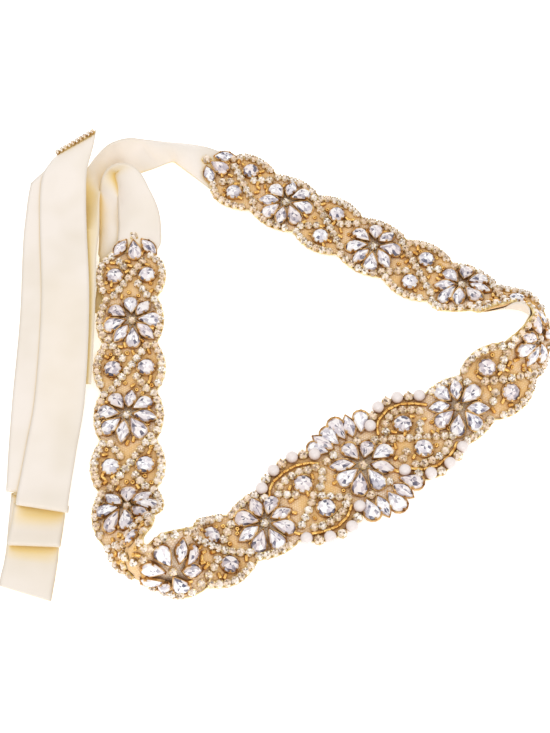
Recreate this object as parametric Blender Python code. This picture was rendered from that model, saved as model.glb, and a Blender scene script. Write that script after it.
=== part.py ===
"""Bridal sash: a satin ribbon with a long beaded applique, laid out on a table.

The ribbon runs flat under three straight legs of the applique, stands on its outer
edge round two bends, and its tails loop back into a flat folded bundle.

Run it with blender --background --python part.py. Sizes are in millimetres until a
mesh is made, +Z is up, and the table is the plane z = 0.
"""

import math
from collections import namedtuple

import bmesh
import bpy
from mathutils import Vector

MM = 0.001

# --- driving sizes, mm -----------------------------------------------------------
RIBBON_WIDTH = 24.0
RIBBON_WALL = 1.0
SEAM_GAP = 0.3
BACKING_WALL = 1.2
MOTIF_PITCH = 27.0          # one scallop along the applique
GRID = MOTIF_PITCH / 8      # spacing of the sections along a course
NOTCH_HALF_WIDTH = 12.2     # applique half width between two scallops
SCALLOP_RISE = 3.8          # added at the middle of a scallop
CHAIN_WIDTH = 3.0           # rhinestone chain
CHAIN_HEIGHT = 2.2
STONE_RADIUS = 3.7          # large round stone in its cup
STONE_HEIGHT = 3.4
STONE_OFFSET = 8.7          # from the middle line to a round stone
PETAL_COUNT = 8
PETAL_HEIGHT = 4.2
FLOWER_REACH = 12.3
CENTRE_FLOWER_REACH = 14.0
FLOWERS_EACH_SIDE = 5
CURLED_FLOWERS = (-3, -2, 1, 2, 3)      # flowers that lie on a bend, counted from the middle
PEARL_HEIGHT = 4.2
FAN_HEIGHT = 3.2
LEVEL_STEP = RIBBON_WALL + SEAM_GAP

# The plan below is drawn about a point near the middle of the sash. A point's place
# in the finished part is its place on the plan less PLAN_MIDDLE.
PLAN_MIDDLE = Vector((4.33, 6.98, 0.0))
MEDALLION_PLACE = (42.0, -56.7)

Row = namedtuple("Row", "along heading lean curl height")

# The applique's course. along: mm from its middle. heading: degrees, in plan.
# lean: how far the left edge is tipped up about the middle line, degrees.
# curl: how much that grows for each mm across. height: of the ribbon's underside.
APPLIQUE_COURSE = (
    Row(-324, -88, 0, 0.0, 1.3),
    Row(-262, -88, 0, 0.0, 1.3),
    Row(-232, -88, 0, 0.0, 0.0),
    Row(-189, -88, 0, 0.0, 0.0),
    Row(-172, -85, 0, 0.0, 1.2),
    Row(-158, -85, 13, -0.5, 6.6),
    Row(-146, -84, 40, -1.5, 11.8),
    Row(-136, -84, 63, -2.3, 15.5),
    Row(-130, -71, 80, -2.6, 16.9),
    Row(-123, -2, 80, -2.6, 16.8),
    Row(-115, 13, 66, -2.0, 15.1),
    Row(-106, 20, 53, -0.6, 12.4),
    Row(-92, 35, 25, 0.0, 6.8),
    Row(-76, 32.5, 0, 0.0, 0.0),
    Row(42, 32.5, 0, 0.0, 0.0),
    Row(58, 29, 7, -0.5, 3.6),
    Row(74, 37, 17, -0.7, 8.8),
    Row(88, 45, 28, 0.0, 12.4),
    Row(100, 52, 55, 0.7, 14.2),
    Row(110, 64, 66, 0.4, 15.8),
    Row(120, 114, 58, 1.2, 16.4),
    Row(130, 145, 41, 1.2, 13.8),
    Row(142, 147, 27, 0.2, 9.0),
    Row(158, 143, 12, -0.3, 3.6),
    Row(174, 148, 0, 0.0, 0.0),
    Row(324, 148, 0, 0.0, 0.0),
)
# The tail that leaves the back end: it turns up on its edge, arches round and
# lies down on the bundle. along: mm from where it comes out under the applique.
BACK_TAIL_COURSE = (
    Row(0, 148, 0, 0.0, 0.0),
    Row(6, 160, 0, 0.0, 0.0),
    Row(14, 168, 0, 0.0, 0.0),
    Row(26, 174, 16, 0.0, 3.6),
    Row(36, 180, 56, 0.0, 10.1),
    Row(44, 188, 88, 0.0, 12.2),
    Row(54, 198, 96, 0.0, 12.2),
    Row(66, 206, 92, 0.0, 12.2),
    Row(73, 224, 66, 0.0, 11.3),
    Row(81, 241, 37, 0.0, 8.5),
    Row(89, 251, 10, 0.0, 6.5),
    Row(96, 262, 0, 0.0, 5.9),
    Row(116, 271, 0, 0.0, 5.9),
    Row(160, 272, 0, 0.0, 5.9),
    Row(206, 271, 0, 0.0, 5.9),
)
# The tail that leaves the left end: it tips up, turns back on itself and lies
# down under the leg that it came from.
LEFT_TAIL_COURSE = (
    Row(0, 92, 0, 0.0, 1.3),
    Row(8, 80, 0, 0.0, 1.3),
    Row(14, 77, 0, 0.0, 1.3),
    Row(26, 79, -22, 0.0, 6.0),
    Row(36, 86, -50, 0.0, 10.6),
    Row(43, 120, -78, 0.0, 12.4),
    Row(48, 180, -88, 0.0, 12.6),
    Row(53, 248, -80, 0.0, 12.2),
    Row(60, 268, -54, 0.0, 9.8),
    Row(68, 270, -16, 0.0, 3.4),
    Row(76, 270, 0, 0.0, 0.0),
    Row(132, 268, 0, 0.0, 0.0),
)

# Half width of the applique by distance from its middle, and from its ends.
Width = namedtuple("Width", "away half")
MEDALLION_WIDTHS = (
    Width(0, 28.0), Width(7, 27.4), Width(12, 24.6), Width(16, 22.4), Width(21, 24.0),
    Width(28, 25.2), Width(36, 23.8), Width(42, 20.4), Width(47.25, 14.6),
)
MEDALLION_END = 14 * GRID
CAP_WIDTHS = (Width(0, 1.6), Width(2.5, 4.6), Width(6, 9.6), Width(10, 12.2), Width(13, 12.2))
CAP_LENGTH = 13.0
APPLIQUE_END = 96 * GRID
RIBBON_UNDER_END = 92 * GRID   # where the ribbon under the applique becomes a tail

# Folded runs of the tails, each a row of sections from north to south.
# y, x: middle of the ribbon. z: its underside. tilt: east edge up, degrees.
# skew: east edge further north, mm.
Section = namedtuple("Section", "y x z tilt skew")
LEVEL = {"arch": 5.9, "back": 5.9 + LEVEL_STEP, "top": 5.9 + 2 * LEVEL_STEP}
TOP_LAYER = (
    Section(131.0, -106.2, 14.0, 28, 6.0),
    Section(124.0, -108.0, 13.4, 20, 3.0),
    Section(112.0, -110.4, 11.9, 9, 0.5),
    Section(96.0, -110.6, LEVEL["top"] + 0.9, 1, 0.0),
    Section(80.0, -109.6, LEVEL["top"], 0, 0.0),
    Section(33.0, -106.2, LEVEL["top"], 0, 0.0),
    Section(-24.0, -104.8, LEVEL["top"], 0, 0.0),
    Section(-51.0, -106.9, LEVEL["top"], 0, -1.0),
    Section(-72.0, -108.4, LEVEL["top"], 0, -3.0),
    Section(-80.0, -108.6, LEVEL["top"], 0, -4.0),
)
BACK_LAYER = (
    Section(114.0, -117.8, LEVEL["back"] + 2.1, 8, 13.0),
    Section(106.0, -118.2, LEVEL["back"] + 1.5, 6, 5.0),
    Section(94.0, -118.5, LEVEL["back"] + 0.4, 1, 2.0),
    Section(72.0, -118.6, LEVEL["back"], 0, 0.0),
    Section(24.0, -116.2, LEVEL["back"], 0, 0.0),
    Section(-22.0, -115.8, LEVEL["back"], 0, 0.0),
    Section(-55.0, -115.0, LEVEL["back"], 0, -1.0),
    Section(-71.0, -114.4, LEVEL["back"], 0, -1.5),
)
UPPER_FOLD = (
    Section(-77.5, -109.6, 4.6, 0, -1.0),
    Section(-88.0, -110.4, 4.4, 0, -1.0),
    Section(-97.0, -111.4, 4.9, 0, -1.0),
)
LOWER_FOLD = (
    Section(-75.5, -110.2, 1.3, 0, 0.0),
    Section(-104.0, -112.4, 1.3, 0, -3.0),
    Section(-119.8, -114.2, 1.3, 0, -7.5),
)
CORE_LAYERS = 3
CORE_HEIGHT = 5.6
CORE_EDGE_ROLL = 0.9        # how far each hidden layer's edge stands out
Core = namedtuple("Core", "y x half")
CORE_SECTIONS = (
    Core(88.0, -112.0, 11.6), Core(80.0, -113.0, 13.0), Core(60.0, -112.8, 13.4),
    Core(24.0, -112.0, 13.4), Core(-22.0, -111.6, 13.4), Core(-55.0, -111.6, 13.0),
    Core(-70.0, -111.2, 11.8),
)


# --- reading the tables ----------------------------------------------------------
def smooth(rows, field, at, key="along"):
    """Value of one column at a place, on a smooth curve through the rows."""
    xs = [getattr(row, key) for row in rows]
    ys = [getattr(row, field) for row in rows]
    last = len(rows) - 1
    if at <= xs[0]:
        return ys[0]
    if at >= xs[last]:
        return ys[last]
    i = max(k for k in range(last) if xs[k] <= at)

    def slope(k):
        if k in (0, last):
            return 0.0
        before = ys[k] - ys[k - 1]
        after = ys[k + 1] - ys[k]
        if before == 0.0 or after == 0.0:
            return 0.0
        return (ys[k + 1] - ys[k - 1]) / (xs[k + 1] - xs[k - 1])

    span = xs[i + 1] - xs[i]
    t = (at - xs[i]) / span
    return (
        (2 * t**3 - 3 * t**2 + 1) * ys[i]
        + (t**3 - 2 * t**2 + t) * span * slope(i)
        + (3 * t**2 - 2 * t**3) * ys[i + 1]
        + (t**3 - t**2) * span * slope(i + 1)
    )


class Course:
    """A ribbon's way through space, with a flat sheet laid across it."""

    STEP = 1.0

    def __init__(self, rows, start, start_along):
        self.rows = rows
        self.first = rows[0].along
        self.last = rows[-1].along
        self.anchor = start_along
        self.ahead = self._walk(start, start_along, self.STEP)
        self.behind = self._walk(start, start_along, -self.STEP)

    def _direction(self, along):
        reach = self.STEP / 2
        rise = smooth(self.rows, "height", along + reach) - smooth(self.rows, "height", along - reach)
        climb = math.asin(max(-0.95, min(0.95, rise / self.STEP)))
        heading = math.radians(smooth(self.rows, "heading", along))
        return heading, climb

    def _walk(self, start, along, step):
        places = [Vector(start)]
        limit = self.last if step > 0 else self.first
        while abs(along - self.anchor) < abs(limit - self.anchor) + abs(step):
            heading, climb = self._direction(along + step / 2)
            run = step * math.cos(climb)
            places.append(places[-1] + Vector((run * math.cos(heading), run * math.sin(heading))))
            along += step
        return places

    def middle(self, along):
        table = self.ahead if along >= self.anchor else self.behind
        place = abs(along - self.anchor) / self.STEP
        i = min(int(place), len(table) - 2)
        flat = table[i].lerp(table[i + 1], place - i)
        return Vector((flat.x, flat.y, smooth(self.rows, "height", along)))

    def point(self, along, across, lift):
        """A point across mm to the left of the middle line and lift mm above the underside."""
        heading, climb = self._direction(along)
        ahead = Vector((math.cos(heading) * math.cos(climb), math.sin(heading) * math.cos(climb), math.sin(climb)))
        left = Vector((-math.sin(heading), math.cos(heading), 0.0))
        up = ahead.cross(left)
        lean = math.radians(smooth(self.rows, "lean", along))
        curl = math.radians(smooth(self.rows, "curl", along))
        turned = lean + curl * across
        if abs(curl) < 1e-6:
            out = across * math.cos(lean)
            rise = across * math.sin(lean)
        else:
            out = (math.sin(turned) - math.sin(lean)) / curl
            rise = (math.cos(lean) - math.cos(turned)) / curl
        surface = self.middle(along) + left * out + up * rise
        return surface + (up * math.cos(turned) - left * math.sin(turned)) * lift


# --- making solids ---------------------------------------------------------------
def make_material(name, colour, roughness, metallic=0.0):
    material = bpy.data.materials.new(name)
    material.use_nodes = True
    shader = material.node_tree.nodes["Principled BSDF"]
    shader.inputs["Base Color"].default_value = (*colour, 1.0)
    shader.inputs["Roughness"].default_value = roughness
    shader.inputs["Metallic"].default_value = metallic
    material.diffuse_color = (*colour, 1.0)
    return material


def add_object(name, bm, material, collection):
    bmesh.ops.recalc_face_normals(bm, faces=bm.faces)
    if bm.calc_volume(signed=True) < 0.0:
        bmesh.ops.reverse_faces(bm, faces=bm.faces)
    mesh = bpy.data.meshes.new(name)
    bm.to_mesh(mesh)
    bm.free()
    mesh.materials.append(material)
    mesh.shade_smooth()
    mesh.set_sharp_from_angle(angle=math.radians(40))
    piece = bpy.data.objects.new(name, mesh)
    collection.objects.link(piece)
    return piece


def add_point(bm, point):
    return bm.verts.new((point - PLAN_MIDDLE) * MM)


def loft(name, rings, material, collection, under=2):
    """A closed body through rings that all have the same number of points.

    The first points of a ring, as many as under says, are its underside. Each panel
    is split the same way across the sheet, so that two sheets nest in a bend.
    """
    bm = bmesh.new()
    loops = [[add_point(bm, point) for point in ring] for ring in rings]
    for near, far in zip(loops, loops[1:]):
        for i in range(len(near)):
            j = (i + 1) % len(near)
            if i < under - 1:
                bm.faces.new((near[i], near[j], far[j]))
                bm.faces.new((near[i], far[j], far[i]))
            else:
                bm.faces.new((near[i], near[j], far[i]))
                bm.faces.new((near[j], far[j], far[i]))
    bm.faces.new(loops[0])
    bm.faces.new(loops[-1])
    return add_object(name, bm, material, collection)


def stations(first, last, every):
    """Places along in whole grid steps, drawn back by half a seam at both ends."""
    steps = list(range(round(first / GRID), round(last / GRID), every)) + [round(last / GRID)]
    places = [step * GRID for step in steps]
    places[0] += SEAM_GAP / 2
    places[-1] -= SEAM_GAP / 2
    return places


def columns_of(shape):
    """Places across the ribbon: more of them where it curls."""
    count = {"flat": 1, "leaning": 2, "curled": 3}[shape]
    return [RIBBON_WIDTH / 2 * i / count for i in range(-count, count + 1)]


def ribbon_ring(course, along, shape):
    acrosses = columns_of(shape)
    under = [course.point(along, across, 0.0) for across in acrosses]
    over = [course.point(along, across, RIBBON_WALL) for across in reversed(acrosses)]
    return under + over


def ribbon(name, course, first, last, every, shape, material, collection):
    rings = [ribbon_ring(course, along, shape) for along in stations(first, last, every)]
    return loft(name, rings, material, collection, under=len(columns_of(shape)))


# --- the applique's outline and relief ---------------------------------------------
def half_width(along):
    away = abs(along)
    if away <= MEDALLION_END:
        return smooth(MEDALLION_WIDTHS, "half", away, key="away")
    from_tip = APPLIQUE_END - away
    if from_tip < CAP_LENGTH:
        return smooth(CAP_WIDTHS, "half", from_tip, key="away")
    part = (away / MOTIF_PITCH - 0.5) % 1.0
    return NOTCH_HALF_WIDTH + SCALLOP_RISE * math.sin(math.pi * part) ** 0.8


def crossing_relief(from_middle, across):
    """Two chains that cross, with a large round stone on each side."""
    strand = NOTCH_HALF_WIDTH * abs(from_middle) / (MOTIF_PITCH / 2)
    off_chain = abs(abs(across) - strand)
    chain = CHAIN_HEIGHT * max(0.0, 1.0 - (off_chain / CHAIN_WIDTH) ** 2)
    off_stone = math.hypot(from_middle, abs(across) - STONE_OFFSET) / STONE_RADIUS
    stone = STONE_HEIGHT * math.sqrt(max(0.0, 1.0 - off_stone**2))
    return max(chain, stone)


def medallion_relief(along, across):
    """Fans of teardrops beside the middle flower, then crossings edged with pearls."""
    away = abs(along)
    if away < MOTIF_PITCH / 2:
        ribs = 0.75 + 0.25 * math.cos(2 * math.pi * along / 4.5)
        return FAN_HEIGHT * ribs if abs(across) > CENTRE_FLOWER_REACH + 2.0 else 0.0
    return crossing_relief(away - MOTIF_PITCH, across)


def border_height(along):
    away = abs(along)
    if MOTIF_PITCH / 2 <= away <= MEDALLION_END:
        beat = math.cos(2 * math.pi * (away - MOTIF_PITCH / 2) / (2 * MOTIF_PITCH / 8))
        return 0.5 * (PEARL_HEIGHT + CHAIN_HEIGHT) + 0.5 * (PEARL_HEIGHT - CHAIN_HEIGHT) * beat
    if away < MOTIF_PITCH / 2:
        return FAN_HEIGHT
    return CHAIN_HEIGHT


def relief(along, across):
    if abs(along) <= MEDALLION_END:
        return medallion_relief(along, across)
    place = round(along / MOTIF_PITCH)
    if place % 2 == 0:
        return 0.0
    return crossing_relief(along - place * MOTIF_PITCH, across)


TOP_SHARES = (-1.0, -0.9, -0.79, -0.54, -0.27, 0.0, 0.27, 0.54, 0.79, 0.9, 1.0)
BORDER_RISE = {1.0: 0.45, 0.9: 1.0}
APPLIQUE_LIFT = RIBBON_WALL + SEAM_GAP


def applique_ring(course, along, shape):
    half = half_width(along)
    inner = columns_of(shape) if shape == "curled" else [0.0]
    ring = [course.point(along, across, APPLIQUE_LIFT) for across in [-half, *inner, half]]
    for share in reversed(TOP_SHARES):
        rise = relief(along, half * share)
        rise = max(rise, BORDER_RISE.get(abs(share), 0.0) * border_height(along))
        ring.append(course.point(along, half * share, APPLIQUE_LIFT + BACKING_WALL + rise))
    return ring


def applique(name, course, first, last, shape, material, collection):
    rings = [applique_ring(course, along, shape) for along in stations(first, last, 1)]
    return loft(name, rings, material, collection, under=len(rings[0]) - len(TOP_SHARES))


def flower(name, course, along, reach, shape, material, collection):
    """Eight petals round a middle stone, as one low body over the backing."""
    base = APPLIQUE_LIFT + BACKING_WALL + SEAM_GAP
    sides = PETAL_COUNT * 4
    lobe = (0.80, 0.96, 1.0, 0.96)      # valley, shoulder, tip, shoulder
    crest = (0.35, 0.85, 1.0, 0.85)
    profile = ((1.0, 0.25), (0.72, 1.0), (0.30, 0.62))
    bm = bmesh.new()

    def place(turn, out, lift):
        angle = 2 * math.pi * turn / sides
        return add_point(bm, course.point(along + out * math.cos(angle), out * math.sin(angle), lift))

    shares = (0.25, 0.5, 0.75, 1.0) if shape == "curled" else (1.0,)
    loops = [[place(i, reach * share * lobe[i % 4], base) for i in range(sides)] for share in shares]
    for out, height in profile:
        share = 1.0 if out == 1.0 else 0.5
        rows = []
        for i in range(sides):
            low = share * crest[i % 4] + (1.0 - share)
            rows.append(place(i, reach * out * lobe[i % 4], base + PETAL_HEIGHT * height * max(0.4, low)))
        loops.append(rows)
    for near, far in zip(loops, loops[1:]):
        for i in range(sides):
            j = (i + 1) % sides
            bm.faces.new((near[i], near[j], far[j], far[i]))
    middle_low = add_point(bm, course.point(along, 0.0, base))
    middle_high = add_point(bm, course.point(along, 0.0, base + PETAL_HEIGHT * 0.8))
    for i in range(sides):
        j = (i + 1) % sides
        bm.faces.new((loops[0][j], loops[0][i], middle_low))
        bm.faces.new((loops[-1][i], loops[-1][j], middle_high))
    return add_object(name, bm, material, collection)


# --- the folded bundle -------------------------------------------------------------
def run_sections(rows, nose_drop, back_length):
    """Frames along a folded run, with a round nose at its south end."""
    frames = []
    for row in rows:
        tilt = math.radians(row.tilt)
        across = Vector((math.cos(tilt), row.skew / RIBBON_WIDTH, math.sin(tilt)))
        frames.append([Vector((row.x, row.y, row.z)), across])
    end = rows[-1]
    if nose_drop > 0.0:
        radius = nose_drop / 2
        for turn in (30, 60, 90, 120, 150, 180):
            angle = math.radians(turn)
            y = end.y - radius * math.sin(angle)
            z = end.z - radius * (1.0 - math.cos(angle))
            frames.append([Vector((end.x, y, z)), frames[len(rows) - 1][1]])
        if back_length > 0.0:
            frames.append([Vector((end.x, end.y + back_length, end.z - nose_drop)), frames[-1][1]])
    return frames


def run_body(name, frames, crown, material, collection):
    """A ribbon through frames: its underside lies on them, its wall stands outwards."""
    half = RIBBON_WIDTH / 2
    rings = []
    for i, (middle, across) in enumerate(frames):
        before = frames[max(i - 1, 0)][0]
        after = frames[min(i + 1, len(frames) - 1)][0]
        out = across.cross(before - after).normalized()
        shares = (-1.0, -0.5, 0.0, 0.5, 1.0)
        under = [middle + across * half * share + out * crown * (1 - share**2) for share in shares]
        over = [point + out * RIBBON_WALL for point in reversed(under)]
        rings.append(under + over)
    return loft(name, rings, material, collection)


def core_body(name, material, collection):
    """The hidden runs: one rounded body whose sides show the layers' edges."""
    rings = []
    layer = CORE_HEIGHT / CORE_LAYERS
    for row in CORE_SECTIONS:
        side = []
        for k in range(CORE_LAYERS):
            side.append((row.half - CORE_EDGE_ROLL, k * layer))
            side.append((row.half, (k + 0.5) * layer))
        side.append((row.half - CORE_EDGE_ROLL, CORE_HEIGHT))
        ring = [Vector((row.x + out, row.y, z)) for out, z in side]
        ring += [Vector((row.x - out, row.y, z)) for out, z in reversed(side)]
        rings.append(ring)
    return loft(name, rings, material, collection)


def end_trim_body(name, frames, material, collection):
    """A rhinestone band sewn on the cut end of the tail."""
    (first, first_across), (second, second_across) = frames[:2]
    length = (second - first).length
    out = first_across.cross(first - second).normalized()
    rings = []
    count = round(RIBBON_WIDTH / CHAIN_WIDTH) * 2
    for i in range(count + 1):
        out_from_middle = RIBBON_WIDTH * (i / count - 0.5)
        high = CHAIN_HEIGHT if i % 2 else CHAIN_HEIGHT * 0.6
        ring = []
        for back, lift in ((0.2, 0.0), (CHAIN_WIDTH, 0.0), (CHAIN_WIDTH * 0.8, high), (0.8, high)):
            share = back / length
            middle = first.lerp(second, share)
            across = first_across.lerp(second_across, share)
            ring.append(middle + across * out_from_middle + out * (RIBBON_WALL + SEAM_GAP + lift))
        rings.append(ring)
    return loft(name, rings, material, collection)


# --- the whole sash ----------------------------------------------------------------
def build():
    for old in list(bpy.data.objects):
        bpy.data.objects.remove(old, do_unlink=True)
    collection = bpy.data.collections.new("bridal_sash")
    bpy.context.scene.collection.children.link(collection)

    satin = make_material("ivory_satin", (0.93, 0.88, 0.78), 0.35)
    beads = make_material("gold_set_rhinestone", (0.80, 0.66, 0.42), 0.3, 0.4)
    crystal = make_material("clear_crystal", (0.86, 0.85, 0.88), 0.1)

    def make(kind, *numbers):
        return kind(*numbers, collection)

    main = Course(APPLIQUE_COURSE, MEDALLION_PLACE, 0.0)
    ribbon_stretches = (
        ("ribbon_left_leg", -RIBBON_UNDER_END, -7 * MOTIF_PITCH, 2, "flat"),
        ("ribbon_left_bend", -7 * MOTIF_PITCH, -22 * GRID, 1, "curled"),
        ("ribbon_front_leg", -22 * GRID, 12 * GRID, 17, "flat"),
        ("ribbon_right_bend", 12 * GRID, 6.5 * MOTIF_PITCH, 1, "curled"),
        ("ribbon_back_leg", 6.5 * MOTIF_PITCH, RIBBON_UNDER_END, 20, "flat"),
    )
    for name, first, last, every, shape in ribbon_stretches:
        make(ribbon, name, main, first, last, every, shape, satin)

    applique_stretches = (
        ("applique_left_leg", -APPLIQUE_END, -6.5 * MOTIF_PITCH, "curled"),
        ("applique_left_bend", -6.5 * MOTIF_PITCH, -3.5 * MOTIF_PITCH, "curled"),
        ("applique_front_left", -3.5 * MOTIF_PITCH, -MEDALLION_END, "curled"),
        ("applique_centre", -MEDALLION_END, MEDALLION_END, "flat"),
        ("applique_front_right", MEDALLION_END, 2.5 * MOTIF_PITCH, "curled"),
        ("applique_right_bend", 2.5 * MOTIF_PITCH, 5.5 * MOTIF_PITCH, "curled"),
        ("applique_back_leg", 5.5 * MOTIF_PITCH, APPLIQUE_END, "curled"),
    )
    for name, first, last, shape in applique_stretches:
        make(applique, name, main, first, last, shape, beads)

    for place in range(-FLOWERS_EACH_SIDE, FLOWERS_EACH_SIDE + 1):
        reach = FLOWER_REACH if place else CENTRE_FLOWER_REACH
        side = "left" if place < 0 else "right"
        name = f"flower_{side}_{abs(place)}" if place else "flower_centre"
        shape = "curled" if place in CURLED_FLOWERS else "flat"
        make(flower, name, main, place * 2 * MOTIF_PITCH, reach, shape, crystal)

    back_start = main.middle(RIBBON_UNDER_END)
    back = Course(BACK_TAIL_COURSE, (back_start.x, back_start.y), 0.0)
    make(ribbon, "ribbon_back_tail", back, 0.0, 10 * GRID, 1, "leaning", satin)
    make(ribbon, "ribbon_arch", back, 10 * GRID, 30 * GRID, 1, "leaning", satin)
    make(ribbon, "ribbon_band", back, 30 * GRID, back.last, 6, "flat", satin)

    left_start = main.middle(-RIBBON_UNDER_END)
    left = Course(LEFT_TAIL_COURSE, (left_start.x, left_start.y), 0.0)
    make(ribbon, "ribbon_left_loop", left, 0.0, 24 * GRID, 1, "leaning", satin)
    make(ribbon, "ribbon_return", left, 24 * GRID, left.last, 2, "flat", satin)

    core_body("tail_core", satin, collection)
    top = run_sections(TOP_LAYER, 2.0 * LEVEL_STEP - RIBBON_WALL, 2.5)
    back_layer = run_sections(BACK_LAYER, 2.3, 0.0)
    upper = run_sections(UPPER_FOLD, 1.3, 16.0)
    lower = run_sections(LOWER_FOLD, SEAM_GAP, 40.0)
    run_body("tail_top_layer", top, 0.0, satin, collection)
    run_body("tail_back_layer", back_layer, 0.0, satin, collection)
    run_body("tail_fold_upper", upper, 0.0, satin, collection)
    run_body("tail_fold_lower", lower, 0.0, satin, collection)
    end_trim_body("end_trim", top, beads, collection)


build()
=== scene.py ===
"""Looks of the bridal sash: satin ribbon, net, rhinestones in gold-tone cups, pearls and beads.

Lengths are millimetres until a mesh is made. The plan is drawn about the point that
PLAN_MIDDLE names, as the CAD part's is, and every piece lies on the same course.
"""

import math
import random
from collections import namedtuple
from functools import partial

import bmesh
import bpy
from mathutils import Matrix, Vector


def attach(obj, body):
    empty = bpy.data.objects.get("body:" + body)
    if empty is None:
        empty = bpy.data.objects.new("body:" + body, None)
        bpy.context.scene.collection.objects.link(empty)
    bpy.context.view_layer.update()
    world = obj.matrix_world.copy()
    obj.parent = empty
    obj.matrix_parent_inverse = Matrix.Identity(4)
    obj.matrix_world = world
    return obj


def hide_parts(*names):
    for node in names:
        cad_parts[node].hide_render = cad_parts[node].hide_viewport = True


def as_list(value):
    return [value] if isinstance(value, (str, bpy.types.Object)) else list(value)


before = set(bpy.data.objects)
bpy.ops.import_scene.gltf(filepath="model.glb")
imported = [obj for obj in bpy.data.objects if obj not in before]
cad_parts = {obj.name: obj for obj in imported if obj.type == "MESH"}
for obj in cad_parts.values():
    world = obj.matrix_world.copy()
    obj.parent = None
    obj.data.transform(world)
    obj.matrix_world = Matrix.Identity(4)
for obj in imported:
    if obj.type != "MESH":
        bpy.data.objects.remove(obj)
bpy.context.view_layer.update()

MM = 0.001

# --- sizes, mm ---
RIBBON_WIDTH = 24.4
SATIN = 0.35                # thickness of the satin
SATIN_LIFT = 0.45           # its underside above the surface it lies on
SATIN_STEP = 1.5            # between rows of points along it
MOST_BELLY = 6.0            # of a loose turn, where its edges come near each other
HOLLOW_GROWS = 14.0         # the length in which a turn's belly becomes a hollow
NOSE_CALM = 12.0            # a folded run's waves die out within this of its fold
SOLID_WIDTH = 24.0          # of the solids' ribbon, which a run's skew is measured over
NET = 0.4                   # thickness of the net backing
NET_LIFT = 1.5
BEAD_LIFT = NET_LIFT + NET  # what is sewn on the net stands on this
WEFT_PITCH = 0.5            # between threads, as drawn
TULLE_PITCH = 1.1
WAVE_SCALE = 3.2 * MM       # a wave texture of scale 1 has about 3.2 lines in a metre
SELVEDGE = (0.9, 0.5)       # where its darker line begins and is full, from the edge
MOTIF_PITCH = 27.0
NOTCH_HALF_WIDTH = 12.2
SCALLOP_RISE = 3.8
CROSSING_RISE = 0.9         # more than that where two chains cross
TUCKED_RISE = 0.5           # what is left of it where the scallop is folded under
CHAIN_PITCH = 3.9
CHAIN_CUP = 4.4             # across a chain cup, claws apart
CHAIN_INSET = 0.7           # middle of the border chain inside the net's drawn edge
NOTCH_GAP = 1.3             # from a notch's middle to where the border chain begins
CROSSING_REACH = 15.5       # of the two chains along from where they cross
CROSSING_SLOPE = 0.70
CROSSING_PITCH = 4.3
LOOP_PITCH = 4.15           # of the chains in the medallion's loops
ROOT_PITCH = 4.2            # and of those at its fans' roots
ROUND_STONE = 9.2
STONE_OFFSET = 8.3
LONG_STONE_WIDTHS = {"navette": 0.54, "drop": 0.65}     # as shares of the length
PEARL = 6.0
SEED = 2.5
SEEDS_AT_CROSSING = 16      # at most
TRIM_STONES = 10            # on the cut end that shows
APPLIQUE_END = 321.6
CHAIN_END = APPLIQUE_END - 11.0      # where the border chain stops short of the tip
NET_END = APPLIQUE_END - 0.6
TUCKED_SCALLOP = -5 * MOTIF_PITCH   # folded under at the left bend, on the outer side
RIBBON_UNDER_END = 310.5
MEDALLION_END = 47.25
PLAN_MIDDLE = Vector((4.33, 6.98, 0.0))
MEDALLION_PLACE = (42.0, -56.7)


def table(kind, *rows):
    return tuple(kind(*row) for row in rows)


Row = namedtuple("Row", "along heading lean curl height")

# The applique's course. along: mm from its middle. heading: degrees, in plan.
# lean: how far the left edge is tipped up about the middle line, degrees.
# curl: how much that grows for each mm across. height: of the ribbon's underside.
APPLIQUE_COURSE = table(
    Row, (-324, -88, 0, 0, 1.3), (-262, -88, 0, 0, 1.3), (-232, -88, 0, 0, 0), (-189, -88, 0, 0, 0),
    (-172, -85, 0, 0, 1.2), (-158, -85, 13, -0.5, 6.6), (-146, -84, 40, -1.5, 12.3),
    (-136, -84, 63, -2.3, 17.2), (-130, -71, 80, -2.6, 18.5), (-123, -2, 80, -2.6, 17.8),
    (-115, 13, 66, -2, 16.5), (-106, 20, 53, -0.6, 14.6), (-92, 35, 25, 0, 7.2), (-76, 32.5, 0, 0, 0),
    (42, 32.5, 0, 0, 0), (58, 29, 7, -0.5, 3.6), (74, 37, 17, -0.7, 8.8), (88, 45, 28, 0, 12.4),
    (100, 52, 55, 0.7, 14.2), (110, 64, 66, 0.4, 15.8), (120, 114, 58, 1.2, 16.4), (130, 145, 41, 1.2, 13.8),
    (142, 147, 27, 0.2, 9), (158, 143, 12, -0.3, 4.3), (174, 148, 0, 0, 0), (324, 148, 0, 0, 0)
)
# The straight bands that the two tails end in, from where each begins in plan.
BACK_TAIL_COURSE = table(
    Row, (-32, 262, 0, 0, 5.9), (-12, 271, 0, 0, 5.9), (32, 272, 0, 0, 5.9), (78, 270, 0, 0, 5.9)
)
BACK_TAIL_PLACE = (-104.687798, 64.355034)
LEFT_TAIL_COURSE = table(Row, (-20, 270, 0, 0, 0), (36, 268, 0, 0, 0))
LEFT_TAIL_PLACE = (-79.316856, 66.590813)

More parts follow.
